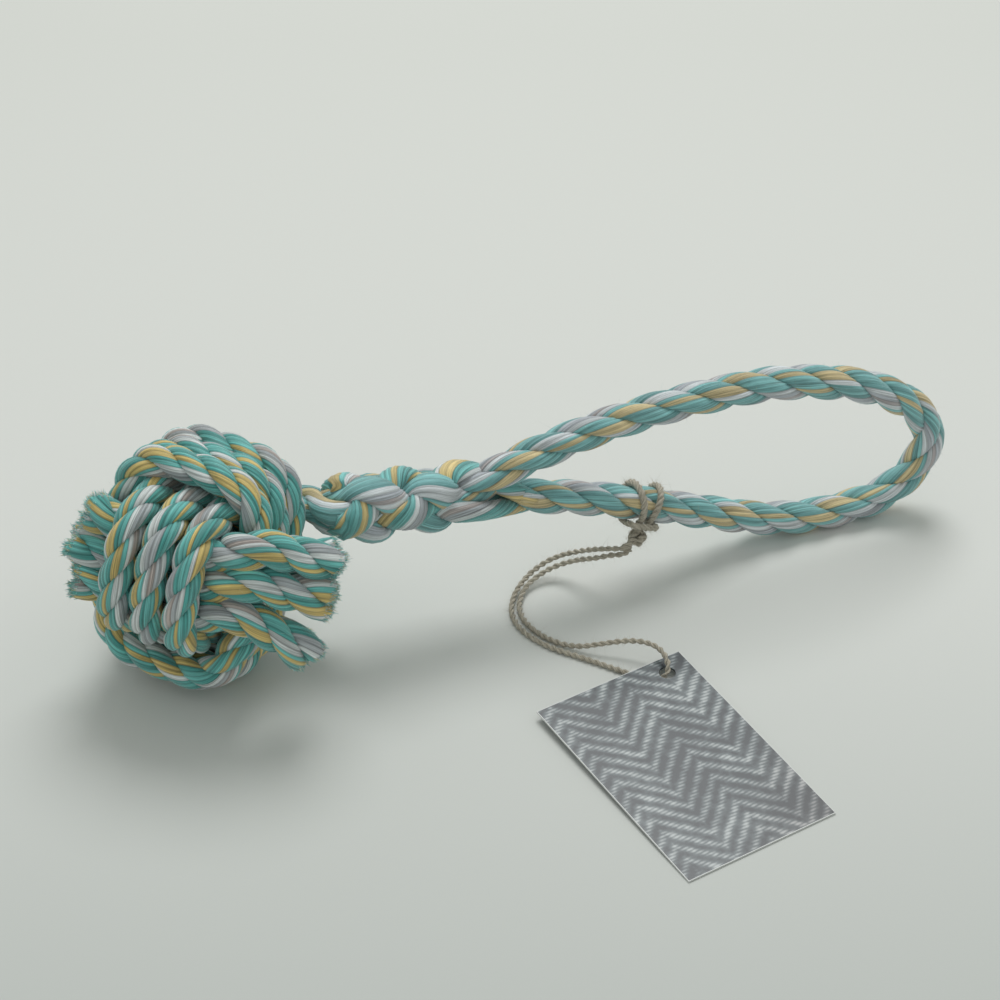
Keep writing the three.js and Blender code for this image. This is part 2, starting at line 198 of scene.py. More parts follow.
# Shader maths as expressions: an operator on a value adds its Math node
class Value:
    def __init__(self, finish, socket):
        self.finish = finish
        self.socket = socket

    def math(self, operation, a, b):
        return self.finish.node("ShaderNodeMath", dict(operation=operation), {0: a, 1: b})

    def __add__(self, other):
        return self.math("ADD", self, other)

    def __radd__(self, other):
        return self.math("ADD", other, self)

    def __sub__(self, other):
        return self.math("SUBTRACT", self, other)

    def __rsub__(self, other):
        return self.math("SUBTRACT", other, self)

    def __mul__(self, other):
        return self.math("MULTIPLY", self, other)

    def __rmul__(self, other):
        return self.math("MULTIPLY", other, self)

    def greater(self, other):
        return self.math("GREATER_THAN", self, other)

    def wave(self):
        return self.math("SINE", self, 0)

    def size(self):
        return self.math("ABSOLUTE", self, 0)

    def bounded(self, low, high):
        return self.math("MINIMUM", self.math("MAXIMUM", self, low), high)


class Finish:
    def __init__(self, name):
        self.material = bpy.data.materials.new(name)
        self.material.use_nodes = True
        self.tree = self.material.node_tree
        self.tree.nodes.clear()

    # One node: its settings first, a ramp's stops among them, then its sockets
    def node(self, kind, settings=None, inputs=None, output=0):
        made = self.tree.nodes.new(kind)
        for key, value in (settings or {}).items():
            if key == "stops":
                ramp = made.color_ramp
                for place, colour in value[2:]:
                    ramp.elements.new(place).color = (*colour, 1)
                for element, (place, colour) in zip((ramp.elements[0], ramp.elements[-1]), value[:2]):
                    element.position = place
                    element.color = (*colour, 1)
            else:
                setattr(made, key, value)
        for key, value in (inputs or {}).items():
            if isinstance(value, Value):
                self.tree.links.new(value.socket, made.inputs[key])
            else:
                made.inputs[key].default_value = value
        return Value(self, made.outputs[output] if made.outputs else None)

    def blend(self, share, a, b, kind="MIX"):
        return self.node("ShaderNodeMix", dict(data_type="RGBA", blend_type=kind), {0: share, 6: a, 7: b}, 2)

    def surface(self, **inputs):
        named = {key.replace("_", " "): value for key, value in inputs.items()}
        shader = self.node("ShaderNodeBsdfPrincipled", None, named)
        self.node("ShaderNodeOutputMaterial", None, {"Surface": shader})
        return self.material


# Rope fibre: the yarn's colour, with the strand's painted shade in it, and fine streaks that run
# along the yarn. Its tone is a base plus the streaks and the slow patches, each less its mean and times its share.
ropeFinish = dict(
    stretch=(4.4, 0.45, 1), streaks=dict(Scale=1.0, Detail=5.0, Roughness=0.72), patches=dict(Scale=0.7, Detail=1.0),
    base=0.99, streakShare=2.9, patchShare=0.9, darkest=0.36, palest=1.34,
    roughness=0.34, rougher=0.2, bump=0.55, depth=1 * mm, sheen=0.4,
)


def ropeMaterial():
    finish = Finish("mixed_rope")
    uv = finish.node("ShaderNodeUVMap", dict(uv_map="fibre"))
    along = finish.node("ShaderNodeVectorMath", dict(operation="MULTIPLY"), {0: uv, 1: ropeFinish["stretch"]})
    streaks = finish.node("ShaderNodeTexNoise", None, dict(Vector=along, **ropeFinish["streaks"]))
    patches = finish.node("ShaderNodeTexNoise", None, dict(Vector=uv, **ropeFinish["patches"]))
    # The yarn attribute holds the yarn's colour with the strand's painted shade in it
    yarn = finish.node("ShaderNodeAttribute", dict(attribute_name="yarn"))
    shade = ropeFinish["base"] + (streaks - 0.5) * ropeFinish["streakShare"]
    shade = shade + (patches - 0.5) * ropeFinish["patchShare"]
    shade = shade.bounded(ropeFinish["darkest"], ropeFinish["palest"])
    grey = finish.node("ShaderNodeCombineColor", None, {0: shade, 1: shade, 2: shade})
    colour = finish.blend(1.0, yarn, grey, "MULTIPLY")
    raised = finish.node("ShaderNodeBump", None, dict(
        Strength=ropeFinish["bump"], Distance=ropeFinish["depth"], Height=streaks))
    rough = ropeFinish["roughness"] + (1 - streaks) * ropeFinish["rougher"]
    return finish.surface(Base_Color=colour, Roughness=rough, Normal=raised,
                          Sheen_Weight=ropeFinish["sheen"], Sheen_Roughness=ropeFinish["sheen"])


# Jute: dull brown-grey fibre with dark and pale flecks along the ply
juteFinish = dict(
    stretch=(16.0, 1.6, 1.0), flecks=dict(Scale=1.0, Detail=4.0, Roughness=0.65),
    stops=[(0.3, (124, 117, 104)), (0.72, (228, 222, 206)), (0.5, (184, 177, 160))],
    roughness=0.85, bump=0.6, depth=0.4 * mm, sheen=0.2,
)


# A ramp's stops, the first and the last one before those between them
def ramped(stops):
    return dict(stops=[(place, tuple(linear(tone))) for place, tone in stops])


def juteMaterial():
    finish = Finish("jute_twine")
    uv = finish.node("ShaderNodeUVMap", dict(uv_map="fibre"))
    along = finish.node("ShaderNodeVectorMath", dict(operation="MULTIPLY"), {0: uv, 1: juteFinish["stretch"]})
    flecks = finish.node("ShaderNodeTexNoise", None, dict(Vector=along, **juteFinish["flecks"]))
    colour = finish.node("ShaderNodeValToRGB", ramped(juteFinish["stops"]), dict(Fac=flecks))
    raised = finish.node("ShaderNodeBump", None, dict(
        Strength=juteFinish["bump"], Distance=juteFinish["depth"], Height=flecks))
    return finish.surface(Base_Color=colour, Roughness=juteFinish["roughness"], Normal=raised,
                          Sheen_Weight=juteFinish["sheen"])


mixedRope = ropeMaterial()
juteTwine = juteMaterial()
print("rope and twine finishes made")

# Rope of three strands, each of eleven yarns: the strands lie on a right-hand helix and
# the yarns turn back the other way, so that they run along the rope
rope = dict(
    diameter=12 * mm, squeezed=10.2 * mm, spacing=11.5 * mm, flat=1.2 * mm,
    offset=3.0 * mm, thick=2.95 * mm, wide=3.3 * mm, lay=42 * mm, knotLay=32 * mm,
    perYarn=4, groove=0.065, uneven=0.22, proud=0.02, yarnBack=1.05, strandTurn=1.3, step=1.15 * mm,
    knotSize=0.94, tailSize=1.06, cap=2.4 * mm, cutCap=1.3 * mm, ragged=0.8 * mm,
    flareSlows=0.45, flareOffset=0.22, flareThick=0.14, flareWide=0.12,
)
yarnTurnsBack = rope["yarnBack"] * (rope["offset"] + rope["thick"]) / rope["thick"]
dyes = dict(
    t=linear((112, 196, 190)), d=linear((82, 168, 162)), y=linear((220, 196, 122)), s=linear((222, 229, 228)),
    g=linear((180, 187, 190)), b=linear((184, 174, 168)),
)
# A pale tone that the handle's yarns are mixed towards by their paler share, which also lifts their painted shade
paleTone = linear((198, 204, 222))
yarnKeys = ["tdtyttdssty", "dttdsgbstyy", "tdyysttdggs"]
# Painted shade of a strand: darker in its grooves and on its inner side, which faces the
# rope's middle, less so by the paler share. Also its cut face, a little darker, and the slow
# change of each yarn along it. The UV counts yarns across and centimetres along.
shades = dict(groove=0.6, inner=0.46, innerTo=-0.9, outerFrom=0.35, paleLifts=1.8, cut=0.8)
slowShade = dict(every=1.5, past=4, darkest=0.86, palest=1.1)
perMetre = 100
farApart = 50


# One strand: at each ring an ellipse, thick outwards and wide across, whose angle is
# the column's share of a turn plus the twist, drawn in at the grooves between yarns.
# The yarns are unevenly wide, and some stand a little proud.
def strandSurface(centre, outward, thick, wide, twist, key, full=None, ragged=0.0, paler=0.0):
    tangents = unit(np.gradient(centre, axis=0))
    outward = unit(outward - tangents * np.sum(outward * tangents, axis=1)[:, None])
    across = np.cross(tangents, outward)
    rings, perYarn = len(centre), rope["perYarn"]
    columns = len(key) * perYarn
    column = np.arange(columns)
    inYarn = column % perYarn / perYarn
    crown = np.sqrt(1 - (2 * inYarn - 1) ** 2)
    edges = np.cumsum(np.concatenate([[0], rng.uniform(1 - rope["uneven"], 1 + rope["uneven"], len(key))]))
    share = np.interp(column / perYarn, np.arange(len(key) + 1), edges / edges[-1])
    lift = rng.normal(0, rope["proud"], len(key)).repeat(perYarn)
    relief = 1 - rope["groove"] * (1 - crown) + lift * crown
    angle = 2 * np.pi * share + twist[:, None]
    full = np.ones(rings) if full is None else full
    points = centre[:, None] + (thick * full)[:, None, None] * (relief * np.cos(angle))[..., None] * outward[:, None]
    points = points + (wide * full)[:, None, None] * (relief * np.sin(angle))[..., None] * across[:, None]
    if ragged:
        reach = np.repeat(rng.normal(0, ragged, len(key)), perYarn)
        points = points + (reach * (1 - full[:, None]))[..., None] * tangents[:, None]
    i, k = np.meshgrid(np.arange(rings - 1), column, indexing="ij")
    after = (k + 1) % columns
    quads = np.stack([i * columns + k, i * columns + after, (i + 1) * columns + after, (i + 1) * columns + k], -1)
    start, end = rings * columns, rings * columns + 1
    near = np.stack([np.full(columns, start), np.roll(column, -1), column], -1)
    far = np.stack([np.full(columns, end), column, np.roll(column, -1)], -1)
    far[:, 1:] += (rings - 1) * columns
    along = travelled(centre) * perMetre + rng.uniform(0, farApart)
    u = np.stack([k, k + 1, k + 1, k], -1) / perYarn
    v = np.stack([along[i], along[i], along[i + 1], along[i + 1]], -1)
    knots = np.arange(0, along[-1] - along[0] + slowShade["past"], slowShade["every"])
    fade = np.stack([
        np.interp(along - along[0], knots, rng.uniform(slowShade["darkest"], slowShade["palest"], len(knots)))
        for _ in key], 1)
    yarns = mixed(np.stack([dyes[letter] for letter in key]), paleTone, paler)
    # Painted shade: the colour darkens in the grooves between yarns and on the side that faces the rope's middle
    lifted = shades["paleLifts"] * paler
    inner, groove = mixed(shades["inner"], 1, lifted), mixed(shades["groove"], 1, lifted)
    facing = inner + (1 - inner) * eased(np.cos(angle), shades["innerTo"], shades["outerFrom"])
    shade = facing * (groove + (1 - groove) * crown)
    yarn = k // perYarn
    corners = np.stack([shade[i, k], shade[i, after], shade[i + 1, after], shade[i + 1, k]], -1)
    colour = yarns[yarn][:, :, None, :] * (corners * fade[i, yarn][..., None])[..., None]
    colour = np.concatenate([colour, np.ones_like(colour[..., :1])], -1)
    capColour = np.concatenate([yarns[column // perYarn] * shades["cut"], np.ones((columns, 1))], -1)
    return dict(
        points=np.vstack([points.reshape(-1, 3), centre[:1], centre[-1:]]),
        quads=quads.reshape(-1, 4), triangles=np.vstack([near, far]),
        uv=np.stack([u, v], -1).reshape(-1, 2), capUv=np.tile([0.5, 0.5], (6 * columns, 1)),
        colour=colour.reshape(-1, 4), capColour=np.repeat(np.vstack([capColour, capColour]), 3, axis=0),
    )


# Several surfaces as one mesh, each one's corners counted on from the last one's
def joined(name, surfaces):
    counts = np.cumsum([0] + [len(s["points"]) for s in surfaces[:-1]])
    return meshFrom(
        name, np.vstack([s["points"] for s in surfaces]),
        np.vstack([s["quads"] + n for s, n in zip(surfaces, counts)]),
        np.vstack([s["triangles"] + n for s, n in zip(surfaces, counts)]),
        np.vstack([s["uv"] for s in surfaces] + [s["capUv"] for s in surfaces]),
        np.vstack([s["colour"] for s in surfaces] + [s["capColour"] for s in surfaces]),
    )


# Three strands round a path: circles of one radius about it, whose angle grows by the
# distance over the lay. Towards a cut end the strands spread and their turn slows.
def ropeSurfaces(path, sideways, lay, phase, flareStart=0.0, flareEnd=0.0, size=1.0):
    cap = rope["cutCap"] if flareEnd else rope["cap"]
    length = travelled(path)[-1]
    s = ringDistances(length, rope["step"], cap, cap)
    axis = atDistances(path, s)
    _, a, b = carriedSides(axis, sideways)
    spread = np.zeros_like(s)
    if flareStart:
        spread = np.maximum(spread, 1 - eased(s, 0, flareStart))
    if flareEnd:
        spread = np.maximum(spread, eased(s, length - flareEnd, length))
    rate = 2 * np.pi / lay * (1 - rope["flareSlows"] * spread)
    angle = phase + np.concatenate([[0], np.cumsum(rate[1:] * np.diff(s))])
    full = capShare(s, length, cap, cap)
    surfaces = []
    for strand, key in enumerate(yarnKeys):
        strandAngle = angle + 2 * np.pi * strand / 3
        outward = np.cos(strandAngle)[:, None] * a + np.sin(strandAngle)[:, None] * b
        centre = axis + outward * (rope["offset"] * size * (1 + rope["flareOffset"] * spread))[:, None]
        thick = rope["thick"] * size * (1 + rope["flareThick"] * spread)
        wide = rope["wide"] * size * (1 + rope["flareWide"] * spread)
        twist = rope["strandTurn"] * strand - yarnTurnsBack * angle
        surfaces.append(strandSurface(centre, outward, thick, wide, twist, key, full, rope["ragged"]))
    return surfaces


# What rests on the floor is pressed flat there
def onFloor(surfaces, clearance=0.15 * mm):
    for surface in surfaces:
        surface["points"][:, 2] = np.maximum(surface["points"][:, 2], clearance)
    return surfaces


def finished(obj, material, nodes, body=None):
    obj.data.materials.append(material)
    if nodes:
        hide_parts(*nodes)
    if body:
        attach(obj, body)
    return obj


# The working frame has the ball over its origin. It is moved so that the neck's pivot
# stands on the handle's joint.
handle = dict(
    neckReach=43 * mm, neckSide=-2.5 * mm, reach=216 * mm, rise=71 * mm, neckShare=0.746,
    spliceFrom=0.5 * mm, spliceTo=39 * mm, spliceLay=57 * mm, tuckLay=60 * mm, crownAt=34 * mm, crownAngle=107,
    weaveMiddle=5.9 * mm, weaveDepth=2.4 * mm, weaveThick=3.3 * mm, weaveWide=5.2 * mm,
    opens=4 * mm, closes=(-3 * mm, 7 * mm), tuckEnd=9 * mm, tuckTip=3 * mm, tuckFarthest=0.99,
    standingSway=0.1, tuckSway=0.17,
    sag=[(2.6, -8, 4), (1.4, 14, 32), (-4, 42, 62)], paler=0.22, tuckPaler=0.1,
    neckBulge=1.3 * mm, neckTwist=2.6, neckFade=(10 * mm, 26 * mm), bends=(-7 * mm, 4 * mm),
)
pivot = np.array([handle["neckReach"], handle["neckSide"], handle["neckShare"] * handle["rise"]])
shift = neckJoint - pivot

# Ball: its own frame is front, right and top. A winding is a rounded oblong turn
# repeated side by side: r = 1 / ((|cos| / outer)^n + (|sin| / inner)^n)^(1/n), moved by
# the two rises, the outer one times place^2 - 1/2. It steps aside at each full turn, as
# smooth steps of one. Its cut ends dive into the ball.
ball = dict(
    yaw=-131.5, pitch=-19.5, roll=-5, side=2.5 * mm, turns=3, points=600,
    aside=0.13, hidden=0.09, dive=0.45, divesAhead=20, divesAlong=0.6,
)
windings = dict(
    front_winding=dict(outer=2.88, inner=1.85, crown=0.05, power=3.5, rises=(0, 0.23), start=-90, phase=40),
    top_winding=dict(outer=3.03, inner=2.08, crown=0.08, power=3.7, rises=(0.12, 0.03), start=100, phase=10),
)


def windingRun(shape, order):
    turns = ball["turns"]
    t = np.linspace(ball["hidden"], turns - ball["hidden"], ball["points"])
    place = -(turns + 1) / 2 + sum(eased(t, k - ball["aside"], k + ball["aside"]) for k in range(turns + 1))
    place = np.clip(place, -(turns - 1) / 2, (turns - 1) / 2)
    angle = np.radians(shape["start"]) - 2 * np.pi * t
    outer = shape["outer"] - shape["crown"] * place**2
    n = shape["power"]
    reach = (np.abs(np.cos(angle)) / outer) ** n + (np.abs(np.sin(angle)) / shape["inner"]) ** n
    distance = reach ** (-1 / n)
    outwards = distance * np.cos(angle) + shape["rises"][0] * (place**2 - 0.5)
    inwards = distance * np.sin(angle) + shape["rises"][1]
    run = dict(outer=outwards, inner=inwards, aside=place)
    return rope["spacing"] * np.stack([run[side] for side in order], 1)


# A line's first end, led on towards the middle of the ball, as far as its place times dive
def dived(run):
    end, before = run[0], run[ball["divesAhead"]]
    deep = end * ball["dive"]
    between = mixed(deep, 2 * end - before, ball["divesAlong"])
    return np.vstack([splineThrough([deep, between, end], perSpan=12)[:-1], run])


def diving(run):
    return dived(dived(run)[::-1])[::-1]


def turned(degrees, axis):
    return np.array(Matrix.Rotation(np.radians(degrees), 3, axis))


ballTurn = turned(ball["yaw"], "Z") @ turned(ball["pitch"], "Y") @ turned(ball["roll"], "X")
frontRun = windingRun(windings["front_winding"], ("outer", "aside", "inner"))
topRun = windingRun(windings["top_winding"], ("aside", "inner", "outer"))
ballHeight = rope["squeezed"] / 2 - rope["flat"] - (topRun @ ballTurn.T)[:, 2].min()


def fromBall(points):
    return points @ ballTurn.T + np.array([0, ball["side"], ballHeight]) + shift


for name, run, sideways in (("front_winding", frontRun, (0, 1, 0)), ("top_winding", topRun, (1, 0, 0))):
    line = fromBall(diving(run))
    phase = np.radians(windings[name]["phase"])
    surfaces = ropeSurfaces(line, ballTurn @ sideways, rope["knotLay"], phase, size=rope["knotSize"])
    finished(joined(name + "_strands", onFloor(surfaces)), mixedRope, [name], "ball")
    print(f"{name} made, {travelled(line)[-1] / mm:.0f} mm of rope")

# Cross ropes, as chosen points in shares of the spacing: front, right, top. Their cut
# ends stand out of the ball.
crossRopes = dict(
    front_cross_rope_upper=dict(phase=20, flares=(9, 14), points=[
        (1.98, -2.45, 1.35), (2.02, -1.95, 1.2), (1.9, -1.2, 1.09), (1.9, 0, 1.09), (1.9, 1.2, 1.2), (2.1, 2.1, 1.67),
        (1.8, 2.76, 1.87), (1.3, 3.32, 1.74), (0.8, 3.81, 1.64), (0.4, 4.2, 1.6)]),
    front_cross_rope_middle=dict(phase=75, flares=(9, 14), points=[
        (2.05, -2.8, 0.17), (1.9, -1.2, 0.17), (1.9, 0, 0.17), (1.9, 1.2, 0.3), (2.1, 2.1, 0.75),
        (1.8, 2.81, 0.84), (1.4, 3.42, 0.7), (0.9, 3.95, 0.6), (0.6, 4.29, 0.57)]),
    front_cross_rope_lower=dict(phase=0, flares=(9, 14), points=[
        (2.05, -2.5, -0.75), (1.9, -1.2, -0.75), (1.9, 0, -0.75), (1.9, 1.2, -0.6), (2.1, 2.1, -0.14),
        (1.8, 2.9, -0.33), (1.4, 3.5, -0.66), (1, 3.85, -0.93), (0.7, 4.02, -1.14)]),
    back_cross_rope_upper=dict(phase=30, flares=(9, 9), points=[
        (-1.92, 0.9, 1.09), (-1.92, 0, 1.09), (-1.92, -1.2, 1.09), (-2.05, -2.5, 1.09)]),
    back_cross_rope_middle=dict(phase=60, flares=(9, 9), points=[
        (-2.05, 3.1, 0.17), (-1.92, 1.2, 0.17), (-1.92, -1.2, 0.17), (-2.05, -2.9, 0.17)]),
    back_cross_rope_lower=dict(phase=90, flares=(9, 9), points=[
        (-2.05, 3.3, -0.75), (-1.92, 1.2, -0.75), (-1.92, -1.2, -0.75), (-2.05, -2.7, -0.75)]),
)
for name, cross in crossRopes.items():
    run = fromBall(splineThrough(np.array(cross["points"]) * rope["spacing"]))
    first, last = np.array(cross["flares"]) * mm
    phase = np.radians(cross["phase"])
    surfaces = ropeSurfaces(run, ballTurn[:, 2], rope["knotLay"], phase, first, last, rope["tailSize"])
    finished(joined(name + "_strands", surfaces), mixedRope, [name], "ball")
    print(f"{name} made, {travelled(run)[-1] / mm:.0f} mm of rope")


# A line wound into a ball, circles of one radius whose plane turns a little with each:
# (cos t, sin t cos(t / leans), sin t sin(t / leans)) times the radius
def woundBall(radius, turns, leans, points):
    t = np.linspace(0, 2 * np.pi * turns, points)
    lean = t / leans
    return radius * np.stack([np.cos(t), np.sin(t) * np.cos(lean), np.sin(t) * np.sin(lean)], 1)


# Core: the same rope wound into a small ball
core = dict(radius=9.4 * mm, turns=5, leans=10, points=500)
coreRope = ropeSurfaces(fromBall(woundBall(**core)), (0, 0, 1), rope["knotLay"], 0)
finished(joined("core_knot_strands", coreRope), mixedRope, ["core_knot"], "ball")
print("core made")

# Handle: shares of its reach past the neck and of its rise, after the stretch that
# comes out of the ball's corner
cornerShares = [(-0.92, 0.92, 0.92), (-1.45, 1.42, 1.45), (-1.8, 1.9, 1.8), (-1.9, 2.35, 1.9)]
handleShares = [
    (0, 0.746), (0.03, 0.752), (0.11, 0.744), (0.19, 0.732), (0.25, 0.738), (0.31, 0.79), (0.41, 0.87), (0.5, 0.91),
    (0.6, 0.933), (0.7, 0.925), (0.79, 0.877), (0.87, 0.79), (0.94, 0.655), (0.985, 0.46), (0.975, 0.26),
    (0.92, 0.115), (0.86, 0.0755), (0.79, 0.0755), (0.71, 0.12), (0.6, 0.25), (0.5, 0.375), (0.4, 0.49),
    (0.295, 0.58),
]


def handlePoint(along, rise):
    return np.array([handle["neckReach"] + along * handle["reach"], handle["neckSide"], rise * handle["rise"]])


outOfBall = fromBall(np.array(cornerShares) * rope["spacing"])
outer = np.stack([handlePoint(*share) for share in handleShares])
handlePath = splineThrough(np.vstack([outOfBall, outer + shift]))
handlePath[:, 2] = np.maximum(handlePath[:, 2], rope["diameter"] / 2 - rope["flat"])
atNeck = travelled(handlePath)[np.argmin(np.linalg.norm(handlePath - pivot - shift, axis=1))]

# Splice: the standing strands and the tucked ones pass over and under each other, as the
# cosine of a level that grows by pi at each crossing. Its sine sways both families, so
# that each lies flatter along the rope where it is on top.
rings = ringDistances(travelled(handlePath)[-1], rope["step"])
fromNeck = rings - atNeck
axis = atDistances(handlePath, rings)
for depth, start, end in handle["sag"]:
    axis[:, 2] -= depth * mm * eased(fromNeck, start * mm, end * mm)
_, sideA, sideB = carriedSides(axis, (0, 1, 0))
crownAngle = np.radians(handle["crownAngle"])
inSplice = eased(fromNeck, handle["spliceFrom"] - handle["opens"], handle["spliceFrom"] + handle["opens"])
inSplice = inSplice - eased(fromNeck, *(handle["spliceTo"] + close for close in handle["closes"]))
inSplice[fromNeck > handle["reach"]] = 0
rate = 2 * np.pi / mixed(rope["lay"], handle["spliceLay"], inSplice)
standing = np.concatenate([[0], np.cumsum(rate[1:] * np.diff(rings))])
standing = standing + crownAngle - np.interp(handle["crownAt"], fromNeck, standing)
tucked = crownAngle - 2 * np.pi / 3 - 2 * np.pi * (fromNeck - handle["crownAt"]) / handle["tuckLay"]
level = 3 / 2 * (standing - tucked)
weave = np.cos(level)
standing = standing + handle["standingSway"] * np.sin(level) * inSplice
tucked = tucked + handle["tuckSway"] * np.sin(level)
nearNeck = 1 - eased(fromNeck, *handle["neckFade"])
middle = handle["weaveMiddle"] + handle["neckBulge"] * nearNeck
woven = middle - handle["weaveDepth"] * weave
offset = mixed(rope["offset"], woven, inSplice)
thick = mixed(rope["thick"], handle["weaveThick"], inSplice)
wide = mixed(rope["wide"], handle["weaveWide"], inSplice)
legs = []
for strand, key in enumerate(yarnKeys):
    angle = standing + 2 * np.pi * strand / 3
    outward = np.cos(angle)[:, None] * sideA + np.sin(angle)[:, None] * sideB
    twist = rope["strandTurn"] * strand - yarnTurnsBack * standing + handle["neckTwist"] * nearNeck
    legs.append(dict(centre=axis + outward * offset[:, None], outward=outward, thick=thick, wide=wide,
                     twist=twist, key=key, paler=handle["paler"]))

# The tucked strands go back along the standing rope, from the throat to the ball
spliced = np.flatnonzero((fromNeck > handle["spliceFrom"]) & (fromNeck < handle["spliceTo"]))[::-1]
tucks = []
for strand in range(3):
    angle = tucked[spliced] + 2 * np.pi * strand / 3
    outward = np.cos(angle)[:, None] * sideA[spliced] + np.sin(angle)[:, None] * sideB[spliced]
    ending = eased(fromNeck[spliced], handle["spliceFrom"], handle["spliceFrom"] + handle["tuckEnd"])
    reach = middle[spliced] + handle["weaveDepth"] * weave[spliced] * ending
    tucks.append(dict(centre=axis[spliced] + outward * reach[:, None], outward=outward))


# Directions along a bridge: the first one carried on, and turned by a growing share of
# the angle that is still open at the end
def bridgeFacing(line, first, last):
    _, sides, others = carriedSides(line, first)
    openAngle = np.arctan2(last @ others[-1], last @ sides[-1])
    angle = openAngle * eased(np.linspace(0, 1, len(line)), 0, 1)[:, None]
    return np.cos(angle) * sides + np.sin(angle) * others


# Each leg strand is led to the tuck that leaves the least way between them in all
order = min(itertools.permutations(range(3)), key=lambda o: sum(
    np.linalg.norm(leg["centre"][-1] - tucks[k]["centre"][0]) for leg, k in zip(legs, o)))
lead = dict(rings=16, pull=0.95, overlap=5, twistPerMetre=200)
finished(joined("handle_rope_strands", onFloor([strandSurface(**leg) for leg in legs])), mixedRope,
         ["handle_rope"])
for number, (leg, k) in enumerate(zip(legs, order), 1):
    tuck = tucks[k]
    a, b = leg["centre"][-1], tuck["centre"][0]
    pull = lead["pull"] * np.linalg.norm(b - a)
    m = unit(leg["centre"][-1] - leg["centre"][-2]) * pull
    n = unit(tuck["centre"][1] - tuck["centre"][0]) * pull
    bridge = cubic(np.linspace(0, 1, lead["rings"] + 2)[1:-1, None], a, m, b, n)
    facing = bridgeFacing(bridge, leg["outward"][-1], tuck["outward"][0])
    kept = slice(-lead["overlap"], None)
    centre = np.vstack([leg["centre"][kept], bridge, tuck["centre"]])
    outward = np.vstack([leg["outward"][kept], facing, tuck["outward"]])
    s = travelled(centre)
    share = eased(s, s[lead["overlap"]], s[lead["overlap"] + lead["rings"]])
    full = np.sqrt(1 - np.clip(1 - (s[-1] - s) / handle["tuckTip"], 0, handle["tuckFarthest"]) ** 2)
    surface = strandSurface(
        centre, outward, mixed(rope["thick"], handle["weaveThick"], share),
        mixed(rope["wide"], handle["weaveWide"], share), leg["twist"][-lead["overlap"]] - lead["twistPerMetre"] * s,
        leg["key"], full, rope["ragged"], handle["tuckPaler"])
    piece = joined(f"splice_strand_{number}_tuck", [surface])
    finished(piece, mixedRope, [f"splice_strand_{number}"], "handle")
    print(f"splice_strand_{number} made, {s[-1] / mm:.0f} mm of strand")
print(f"handle and splice made, tuck order {order}, {rings[-1] / mm:.0f} mm of rope")
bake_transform(bpy.data.objects["handle_rope_strands"])

# Twine: two or three plies round a path, each a round tube on a helix, whose radius
# wanders as a sine of the distance and a little at random
twine = dict(
    diameter=1.9 * mm, ply=0.56 * mm, offset=0.42 * mm, lay=5.2 * mm, sides=8, step=0.45 * mm,
    swell=0.1, swellRate=2.1, rough=0.04, clearance=0.05 * mm,
)


def plySurface(path, sideways, phase, size=1.0):
    s = ringDistances(travelled(path)[-1], twine["step"])
    line = atDistances(path, s)
    tangents, a, b = carriedSides(line, sideways)
    angle = phase + 2 * np.pi * s / (twine["lay"] * size)
    out = np.cos(angle)[:, None] * a + np.sin(angle)[:, None] * b
    centre = line + out * twine["offset"] * size
    across = np.cross(tangents, out)
    sides = twine["sides"]
    column = np.arange(sides)
    around = 2 * np.pi * column / sides
    swell = twine["swell"] * np.sin(s / mm * twine["swellRate"] + 2 * phase)
    radius = twine["ply"] * size * (1 + swell + rng.normal(0, twine["rough"], len(s)))
    points = centre[:, None] + radius[:, None, None] * (
        np.cos(around)[None, :, None] * out[:, None] + np.sin(around)[None, :, None] * across[:, None])
    i, k = np.meshgrid(np.arange(len(s) - 1), column, indexing="ij")
    after = (k + 1) % sides
    quads = np.stack([i * sides + k, i * sides + after, (i + 1) * sides + after, (i + 1) * sides + k], -1)
    near = np.stack([np.full(sides, len(s) * sides), np.roll(column, -1), column], -1)
    far = np.stack([np.full(sides, len(s) * sides + 1), column, np.roll(column, -1)], -1)
    far[:, 1:] += (len(s) - 1) * sides
    u = np.stack([k, k + 1, k + 1, k], -1) / sides
    along = s * perMetre + rng.uniform(0, farApart)
    v = np.stack([along[i], along[i], along[i + 1], along[i + 1]], -1)
    return dict(
        points=np.vstack([points.reshape(-1, 3), centre[:1], centre[-1:]]), quads=quads.reshape(-1, 4),
        triangles=np.vstack([near, far]), uv=np.stack([u, v], -1).reshape(-1, 2),
        capUv=np.tile([0.5, 0.5], (6 * sides, 1)), colour=np.ones((quads.size, 4)),
        capColour=np.ones((6 * sides, 4)),
    )


def twineSurfaces(path, sideways, size=1.0, plies=2):
    return [plySurface(path, sideways, 2 * np.pi * n / plies, size) for n in range(plies)]


